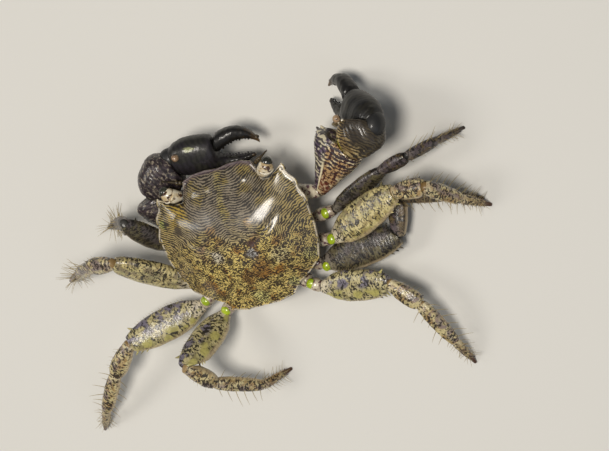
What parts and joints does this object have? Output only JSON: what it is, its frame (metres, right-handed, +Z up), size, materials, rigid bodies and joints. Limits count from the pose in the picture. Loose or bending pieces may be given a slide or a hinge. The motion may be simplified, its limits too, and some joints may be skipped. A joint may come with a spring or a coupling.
{
  "type": "marbled rock crab",
  "caption": "Life-size still model of a marbled shore crab standing on its legs, one claw stretched ahead and one folded across its face.",
  "frame": {"origin": "middle of the crab's outer box, on the floor that its feet stand on", "axes": "+X to the crab's right across its legs, +Y ahead of its face, +Z up"},
  "size_m": [0.1022, 0.0668, 0.0183],
  "materials": {
    "shell": "wet chitin, olive and purple-black wavy lines, glossy",
    "underside": "cream shell with grey-violet marks, satin",
    "leg": "olive-cream chitin with black-brown marbling, satin to glossy",
    "foot": "orange-brown horn, darker tips, satin",
    "claw": "purple-brown and cream striped chitin, glossy",
    "eyestalk": "cream with brown speckles, satin",
    "cornea": "dark olive-grey, very glossy",
    "feeler": "brown, satin"
  },
  "bodies": {
    "root": {"carapace": "shell", "sternum": "underside", "abdomen": "underside", "mouthparts": "underside", "eye_left": "cornea", "eyestalk_left": "eyestalk", "antenna_left": "feeler", "claw_left_base": "underside", "claw_left_merus": "claw", "claw_left_carpus": "claw", "claw_left_palm": "claw", "claw_left_finger": "claw", "leg_left_1_base": "underside", "leg_left_1_merus": "leg", "leg_left_1_carpus": "leg", "leg_left_1_propodus": "leg", "leg_left_1_dactyl": "foot", "leg_left_2_base": "underside", "leg_left_2_merus": "leg", "leg_left_2_carpus": "leg", "leg_left_2_propodus": "leg", "leg_left_2_dactyl": "foot", "leg_left_3_base": "underside", "leg_left_3_merus": "leg", "leg_left_3_carpus": "leg", "leg_left_3_propodus": "leg", "leg_left_3_dactyl": "foot", "leg_left_4_base": "underside", "leg_left_4_merus": "leg", "leg_left_4_carpus": "leg", "leg_left_4_propodus": "leg", "leg_left_4_dactyl": "foot", "eye_right": "cornea", "eyestalk_right": "eyestalk", "antenna_right": "feeler", "claw_right_base": "underside", "claw_right_merus": "claw", "claw_right_carpus": "claw", "claw_right_palm": "claw", "claw_right_finger": "claw", "leg_right_1_base": "underside", "leg_right_1_merus": "leg", "leg_right_1_carpus": "leg", "leg_right_1_propodus": "leg", "leg_right_1_dactyl": "foot", "leg_right_2_base": "underside", "leg_right_2_merus": "leg", "leg_right_2_carpus": "leg", "leg_right_2_propodus": "leg", "leg_right_2_dactyl": "foot", "leg_right_3_base": "underside", "leg_right_3_merus": "leg", "leg_right_3_carpus": "leg", "leg_right_3_propodus": "leg", "leg_right_3_dactyl": "foot", "leg_right_4_base": "underside", "leg_right_4_merus": "leg", "leg_right_4_carpus": "leg", "leg_right_4_propodus": "leg", "leg_right_4_dactyl": "foot"}
  },
  "joints": []
}
